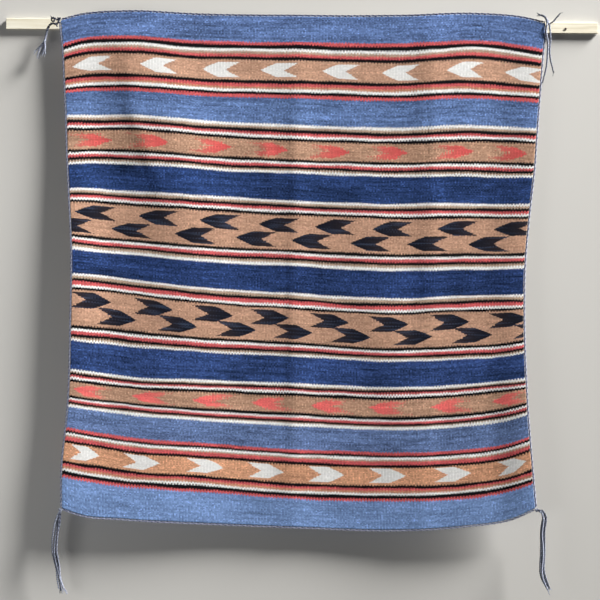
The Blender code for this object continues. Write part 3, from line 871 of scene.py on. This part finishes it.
# A tassel: its corner (side 0 left or 1 right, end 0 top or 1 bottom), how far its knot sits in
# front of the cloth, how dark the knot is, and its loose strands. A loose strand: how thick it
# is, how dark it is at the knot and at its tip, how many thin fibres fray from the tip, and its
# points (right, up, forward) from the knot, in millimetres.
Tassel = namedtuple("Tassel", "name node side end forward tone strands")
Loose = namedtuple("Loose", "thick first_tone last_tone fibres points")
TASSELS = (
    Tassel("upper_left_tassel", "tassel_top_left", 0, 0, 1.5, 0.95, (
        Loose(1.3, 0.95, 0.75, 0, (
            (0, 0, 0), (-2, -9, 1), (-6, -11, 1), (-11, -9, 1), (-17, -11, 0), (-22, -17, -1),
            (-25, -26, -2),
        )),
        Loose(1.25, 0.75, 0.15, 0, ((-21, -16, -1), (-25, -26, -2), (-28, -38, -3), (-31, -46, -3))),
        Loose(0.95, 0.95, 0.98, 2, (
            (-3, -3, 1), (-7, 0, 3), (-12, 2, 3), (-15, -2, 3), (-11, -6, 4), (-7, -3, 5),
            (-12, 0, 6), (-15, 3, 5),
        )),
        Loose(0.8, 0.95, 0.85, 0, ((-6, -11, 1), (-4, -13, 2), (-2.6, -17, 2))),
        Loose(0.9, 0.30, 0.0, 5, ((-29, -42, -3), (-34, -50, -3), (-42, -59, -4), (-48, -66, -4))),
        Loose(0.9, 0.55, 0.05, 5, ((-29, -42, -2), (-32, -51, -2), (-40, -62, -2), (-43, -71, -3))),
        Loose(0.9, 0.80, 0.10, 5, ((-28, -42, -4), (-31, -52, -5), (-35, -62, -5), (-40, -74, -5))),
        Loose(0.9, 0.60, 0.0, 5, ((-30, -42, -3), (-31, -52, -3), (-31, -60, -3), (-34, -70, -4))),
        Loose(0.9, 0.15, 0.0, 5, ((-30, -43, -1), (-29, -51, -1), (-28, -58, 0), (-29, -66, -1))),
    )),
    Tassel("upper_right_tassel", "tassel_top_right", 1, 0, 1.5, 0.15, (
        Loose(1.0, 0.20, 0.75, 3, (
            (0, 0, 0), (3.6, -4, 1), (5.4, -15, 1), (6.8, -37, 0), (6.2, -67, -3), (10, -86, -4),
            (14.4, -103, -4),
        )),
        Loose(1.0, 0.05, 0.80, 3, (
            (0, 0, 1), (-0.6, -5, 4.2), (-2.2, -12, 4.6), (-3.2, -22, 4.2), (1.2, -41, 2),
            (1.2, -67, -1), (-1, -94, -3), (-8.5, -125, -3),
        )),
        Loose(1.25, 0.35, 0.75, 8, ((0, 0, 0), (-4, 7, 2), (-9, 11, 3), (-14, 13, 2))),
        Loose(0.9, 0.55, 0.85, 1, ((0, 0, 0), (3, -5, 1), (8, -3, 1), (18, 7, 1), (27, 18, 0))),
    )),
    Tassel("lower_left_tassel", "tassel_bottom_left", 0, 1, 0.0, 0.05, (
        Loose(1.05, 0.20, 0.30, 3, (
            (0, 0, 0), (-8, -18, 1), (-15, -53, 0), (-15.5, -89, -2), (-8, -120, -4),
            (-6, -140, -4), (-3, -162, -5),
        )),
        Loose(1.05, 0.85, 0.50, 4, (
            (0, 0, 0), (0, -18, 0), (-6, -53, -3), (-8, -89, -5), (-2, -120, -5), (0, -140, -6),
            (6, -158, -6),
        )),
        Loose(1.0, 0.95, 0.80, 3, (
            (0, 0, 0), (-4, -16, -1), (-10, -50, -4), (-12, -84, -6), (-6, -116, -6),
            (-3, -138, -6), (1, -166, -7),
        )),
        Loose(0.9, 0.75, 0.15, 4, (
            (0, 0, 0), (-5, -20, 1), (-10, -55, 1), (-12, -90, -1), (-5, -122, -3), (0, -142, -4),
            (9, -166, -6),
        )),
        Loose(0.9, 0.90, 0.30, 3, (
            (0, 0, 0), (-2, -14, 2), (-5, -48, 1), (-7, -86, -1), (-1, -118, -3), (-1, -140, -4),
            (3, -164, -5),
        )),
    )),
    Tassel("lower_right_tassel", "tassel_bottom_right", 1, 1, 0.0, 0.25, (
        Loose(1.0, 0.55, 0.60, 3, (
            (0, 0, 0), (8, 1, 0), (12, -8, 1), (9, -37, 0), (9.5, -85, -2), (11, -139, -4),
            (23, -160, -5),
        )),
        Loose(1.0, 0.90, 0.30, 4, (
            (0, 0, 0), (10, 0, 0), (17, -11, 0), (15, -38, -2), (15.5, -85, -4), (17, -135, -5),
            (28, -160, -6),
        )),
        Loose(0.9, 0.80, 0.75, 2, (
            (0, 0, 0), (9, -1, -1), (14, -12, -2), (12, -40, -4), (13, -84, -6), (13.5, -132, -7),
            (24, -158, -7),
        )),
        Loose(0.9, 0.30, 0.10, 3, (
            (0, 0, 0), (7, -1, 1), (13, -13, 2), (11, -44, 1), (14, -88, -1), (13.5, -138, -3),
            (26, -166, -5),
        )),
        Loose(0.9, 0.75, 0.45, 3, (
            (0, 0, 0), (9, 1, 0), (18, -9, 0), (17, -40, -1), (17.5, -84, -3), (18.5, -132, -4),
            (27, -154, -5),
        )),
    )),
)

# The fibres that fray from a tip: how thick they are as a share of a strand, how long and how
# widely spread in millimetres, how long at least and at most as a share of that length, how far
# back in the strand they start and how far they bend, in millimetres, and the share of its
# length by which a fibre runs on straight ahead.
FIBRE = 0.26
FIBRE_LENGTH = 11.0
FIBRE_SPREAD = 4.0
FIBRE_LEAST = 0.6
FIBRE_MOST = 1.1
FIBRE_ROOT = 2.5
FIBRE_BEND = 1.2
FIBRE_DROP = 0.6
FIBRE_POINTS = 7


def through(points, count):
    """Points along the smooth curve through given ones."""
    points = np.asarray(points, float)
    gaps = np.linalg.norm(np.diff(points, axis=0), axis=1)
    stations = np.concatenate(([0.0], np.cumsum(gaps)))
    return smooth(stations, points, np.linspace(0, stations[-1], count))


tassel_wool = wool_yarn(
    "knotted wool", pale=linear(166, 172, 190), dark=linear(16, 20, 38), fleck=0.7, twist=0.34,
)
fray = np.random.default_rng(7)
for tassel in TASSELS:
    corner = cloth_points(tassel.side, tassel.end).reshape(3)
    knot = corner + KNOT_OFFSET * (np.array((2 * tassel.side - 1, 0, 1 - 2 * tassel.end)))
    knot[1] -= tassel.forward

    # The knot is one round of a trefoil, whose own reach is 3.
    turn = np.linspace(0, 2 * np.pi, KNOT_POINTS)
    loop = np.stack((
        np.sin(turn) + 2 * np.sin(2 * turn), -np.sin(3 * turn), np.cos(turn) - 2 * np.cos(2 * turn),
    ), axis=1)
    strands = [Strand(knot + loop * (KNOT_REACH / 3), KNOT_THICKNESS, tassel.tone)]
    for loose in tassel.strands:
        offsets = np.asarray(loose.points, float)
        line = knot + np.stack((offsets[:, 0], -offsets[:, 2], offsets[:, 1]), axis=1)
        line = through(line, STRAND_POINTS)
        share = np.linspace(0, 1, STRAND_POINTS)
        tones = loose.first_tone + (loose.last_tone - loose.first_tone) * share
        strands.append(Strand(line, loose.thick * (1 - STRAND_TAPER * share ** 6), tones))
        ahead = line[-1] - line[-2]
        ahead /= np.linalg.norm(ahead)
        for _ in range(loose.fibres):
            reach = FIBRE_LENGTH * fray.uniform(FIBRE_LEAST, FIBRE_MOST)
            aside = fray.uniform(-1, 1, 3) * (1, 0.5, 1) * FIBRE_SPREAD
            start = line[-1] - ahead * FIBRE_ROOT
            tip = line[-1] + ahead * reach * FIBRE_DROP + aside
            bend = (start + tip) / 2 + fray.uniform(-1, 1, 3) * FIBRE_BEND
            fibre = through((start, bend, tip), FIBRE_POINTS)
            strands.append(Strand(fibre, FIBRE, loose.last_tone))
    piece = twined(
        tassel.name, twined_cord, strands, thickness=STRAND * MM, plies=2,
        pitch=STRAND_PITCH * MM, step=STRAND_STEP * MM, sides=STRAND_SIDES,
        wobble=STRAND_WOBBLE * MM, seed=3.0, finish=tassel_wool,
    )
    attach(piece, "root")
    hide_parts(tassel.node)

# The camera stands square to the wall, a few steps back, level with the middle of the rug and
# its tassels, and turned by the photograph's slight tilt. Lengths are in metres, and the frame's
# width is measured at the rug's face.

FRAME_WIDTH = 1.230
CAMERA_BACK = 2.6
RUG_FACE = 0.02
CAMERA_HEIGHT = -0.565
CAMERA_ROLL = math.radians(0.44)
SENSOR = 36.0

lens = bpy.data.cameras.new("camera")
lens.sensor_width = SENSOR
lens.lens = SENSOR * CAMERA_BACK / FRAME_WIDTH
camera = bpy.data.objects.new("camera", lens)
cosine, sine = math.cos(CAMERA_ROLL), math.sin(CAMERA_ROLL)
camera.matrix_world = Matrix((
    (cosine, -sine, 0, 0),
    (0, 0, -1, -CAMERA_BACK - RUG_FACE),
    (sine, cosine, 0, CAMERA_HEIGHT),
    (0, 0, 0, 1),
))
bpy.context.scene.collection.objects.link(camera)
bpy.context.scene.camera = camera

# The stage: a plain pale floor and a plain pale backdrop for the shadows, and soft studio light
# from the upper right. Lengths are in metres.

FLOOR_HEIGHT = -1.45
STAGE_REACH = 6
BACKDROP_PLACE = 0.001
BACKDROP_TOP = 3


def plain_sheet(name, corners, colour, see_through=False):
    """A flat sheet of the stage. A see-through one shows from its front only."""
    mesh = bpy.data.meshes.new(name)
    mesh.from_pydata(corners, [], [(0, 1, 2, 3)])
    made, shader, s = finish(name, roughness=0.9)
    shader.inputs["Base Color"].default_value = colour
    if see_through:
        behind = s.node("NewGeometry", (), (), "Backfacing")
        clear = s.node("BsdfTransparent")
        both = s.node("MixShader", (), {0: behind, 1: Shade(s.tree, shader.outputs[0]), 2: clear})
        output = s.tree.nodes["Material Output"]
        s.tree.links.new(both.socket, output.inputs["Surface"])
    mesh.materials.append(made)
    sheet = bpy.data.objects.new(name, mesh)
    bpy.context.scene.collection.objects.link(sheet)
    return sheet


ACROSS_THE_STAGE = (-STAGE_REACH, STAGE_REACH, STAGE_REACH, -STAGE_REACH)
floor_depths = (-STAGE_REACH, -STAGE_REACH, STAGE_REACH, STAGE_REACH)
floor_corners = [(x, y, FLOOR_HEIGHT) for x, y in zip(ACROSS_THE_STAGE, floor_depths)]
floor = plain_sheet("floor", floor_corners, linear(138, 137, 134))
backdrop_heights = (FLOOR_HEIGHT, FLOOR_HEIGHT, BACKDROP_TOP, BACKDROP_TOP)
backdrop_corners = [(x, BACKDROP_PLACE, z) for x, z in zip(ACROSS_THE_STAGE, backdrop_heights)]
backdrop = plain_sheet("backdrop", backdrop_corners, linear(200, 198, 193), see_through=True)
backdrop.visible_shadow = False
for sheet in (floor, backdrop):
    sheet.visible_diffuse = False

# The lamps, all round: where each stands and aims, its width in metres, its power in watts, the
# spread of its light in degrees and its colour.
Lamp = namedtuple("Lamp", "name place aim width power spread colour")
LAMPS = (
    Lamp("key light", (5.9, -1.85, 5.5), (-0.5, 0.0, -0.35), 3.0, 540.0, 75.0, (1.0, 0.99, 0.975)),
    Lamp("fill light", (-1.5, -1.3, -1.1), (-0.3, 0.0, -0.8), 1.0, 9.0, 180.0, (0.97, 0.98, 1.0)),
    Lamp("light behind", (0.5, 3.0, 1.5), (0.0, 0.0, -0.55), 2.5, 60.0, 180.0, (1.0, 1.0, 1.0)),
)
for lamp in LAMPS:
    light = bpy.data.lights.new(lamp.name, "AREA")
    light.shape = "DISK"
    light.size = lamp.width
    light.energy = lamp.power
    light.color = lamp.colour
    light.spread = math.radians(lamp.spread)
    stand = bpy.data.objects.new(lamp.name, light)
    stand.location = lamp.place
    aim = Vector(lamp.aim) - Vector(lamp.place)
    stand.rotation_euler = aim.to_track_quat("-Z", "Y").to_euler()
    bpy.context.scene.collection.objects.link(stand)

STUDIO_TONE = (0.93, 0.95, 1.0, 1.0)
STUDIO_STRENGTH = 0.06
world = bpy.data.worlds.new("studio")
bpy.context.scene.world = world
world.use_nodes = True
studio = world.node_tree.nodes["Background"]
studio.inputs["Color"].default_value = STUDIO_TONE
studio.inputs["Strength"].default_value = STUDIO_STRENGTH
bpy.context.scene.view_settings.view_transform = "Standard"
